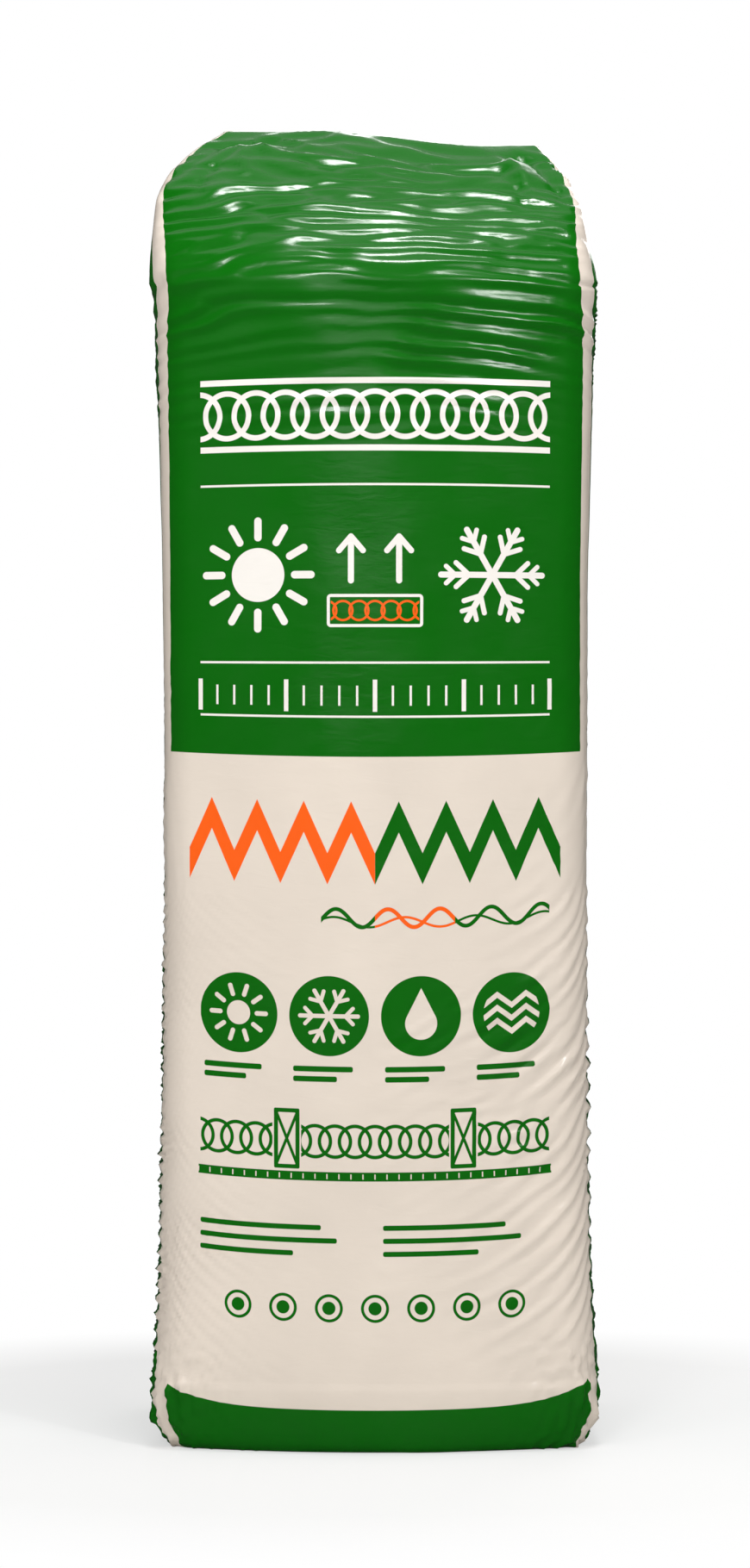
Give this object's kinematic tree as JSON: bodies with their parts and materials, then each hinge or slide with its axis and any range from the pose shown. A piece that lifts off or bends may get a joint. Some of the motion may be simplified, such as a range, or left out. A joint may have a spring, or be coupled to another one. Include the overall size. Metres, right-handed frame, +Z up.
{
  "type": "bagged pack of glass wool ceiling batts",
  "caption": "Upright sealed film bag holding a squeezed stack of glass wool ceiling batts, with a gabled top, tucked sides and a welded ridge folded over the back.",
  "frame": {"origin": "on the floor, under the middle of the pack", "axes": "+Z up along the pack's length to the welded ridge, +X to the pack's right, -Y towards the viewer at its printed front"},
  "size_m": [0.452, 0.4658, 1.352],
  "materials": {
    "printed_film": "glossy polyethylene film printed green and cream, creased and rippled",
    "glass_wool": "matt brown-yellow bonded glass fibre, squeezed"
  },
  "bodies": {
    "root": {"bag": "printed_film", "batt_01": "glass_wool", "batt_02": "glass_wool", "batt_03": "glass_wool", "batt_04": "glass_wool", "batt_05": "glass_wool", "batt_06": "glass_wool", "batt_07": "glass_wool", "batt_08": "glass_wool", "batt_09": "glass_wool", "batt_10": "glass_wool", "batt_11": "glass_wool", "batt_12": "glass_wool", "batt_13": "glass_wool", "batt_14": "glass_wool", "batt_15": "glass_wool", "batt_16": "glass_wool", "batt_17": "glass_wool"}
  },
  "joints": []
}
